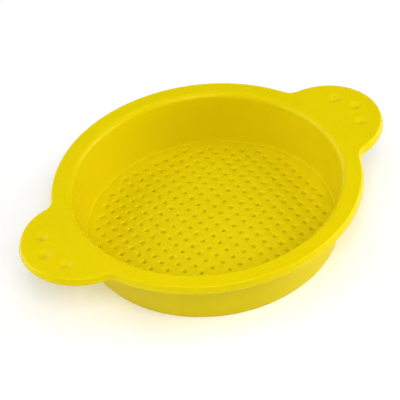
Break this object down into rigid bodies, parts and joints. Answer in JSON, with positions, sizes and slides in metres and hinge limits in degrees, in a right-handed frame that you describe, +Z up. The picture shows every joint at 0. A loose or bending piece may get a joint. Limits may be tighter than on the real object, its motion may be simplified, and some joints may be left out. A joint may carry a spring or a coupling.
{
  "type": "sand sieve",
  "caption": "Shallow round plastic sand sieve with a perforated floor, a broad skirted rim and two ear handles with finger dimples, standing on the lower edge of its wall.",
  "frame": {"origin": "on the bowl's axis at the level of the lower edge on which it stands", "axes": "+X from the left handle to the right handle, +Z up out of the bowl's mouth"},
  "size_m": [0.26, 0.2, 0.043],
  "materials": {
    "yellow_plastic": "glossy moulded polypropylene, plain yellow"
  },
  "bodies": {
    "root": {"bowl_wall": "yellow_plastic", "rim": "yellow_plastic", "sieve_floor": "yellow_plastic", "left_handle": "yellow_plastic", "right_handle": "yellow_plastic"}
  },
  "joints": []
}
